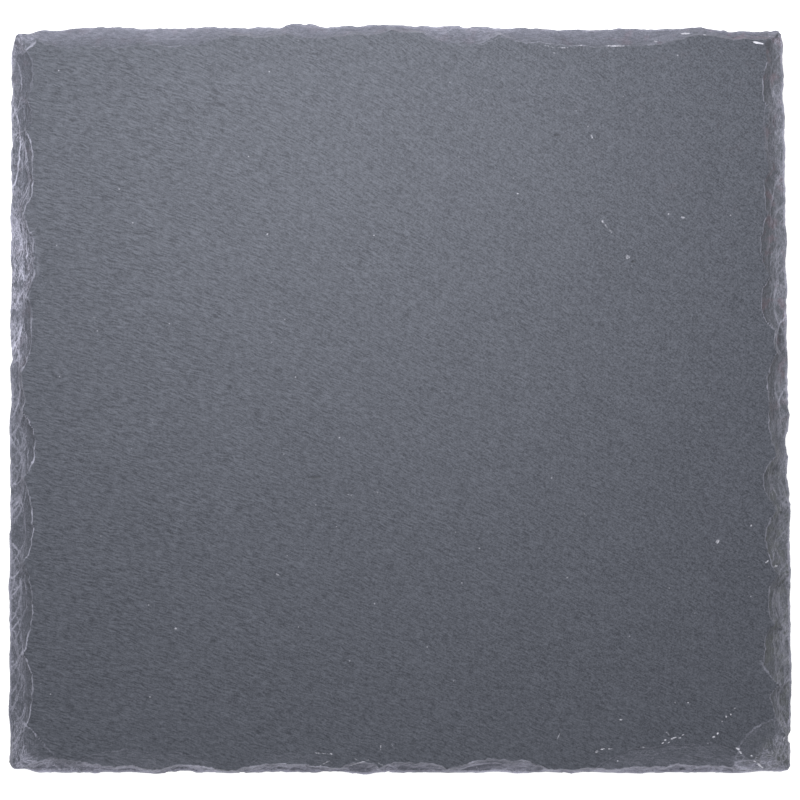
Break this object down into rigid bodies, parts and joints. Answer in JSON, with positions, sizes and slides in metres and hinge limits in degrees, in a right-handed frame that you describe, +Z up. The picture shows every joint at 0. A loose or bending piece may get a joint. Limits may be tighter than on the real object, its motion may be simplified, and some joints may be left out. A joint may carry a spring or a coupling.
{
  "type": "slate work plate",
  "caption": "Near-square plate of natural riven slate with hand-chipped, bevelled edges, on stick-on rubber feet; a flat surface to work on or set things on.",
  "frame": {"origin": "on the bench, under the middle of the plate", "axes": "+X to the right along the plate's longer side, +Y to the rear edge, +Z up through the thickness"},
  "size_m": [0.2998, 0.2876, 0.009],
  "materials": {
    "slate": "riven matt slate, with paler crushed stone on the chipped edges",
    "rubber": "matt black rubber",
    "adhesive": "milky double-sided adhesive"
  },
  "bodies": {
    "root": {"slate_plate": "slate", "rubber_foot_front_left": "rubber", "rubber_foot_front_right": "rubber", "rubber_foot_rear_left": "rubber", "rubber_foot_rear_right": "rubber", "adhesive_disc_front_left": "adhesive", "adhesive_disc_front_right": "adhesive", "adhesive_disc_rear_left": "adhesive", "adhesive_disc_rear_right": "adhesive"}
  },
  "joints": []
}
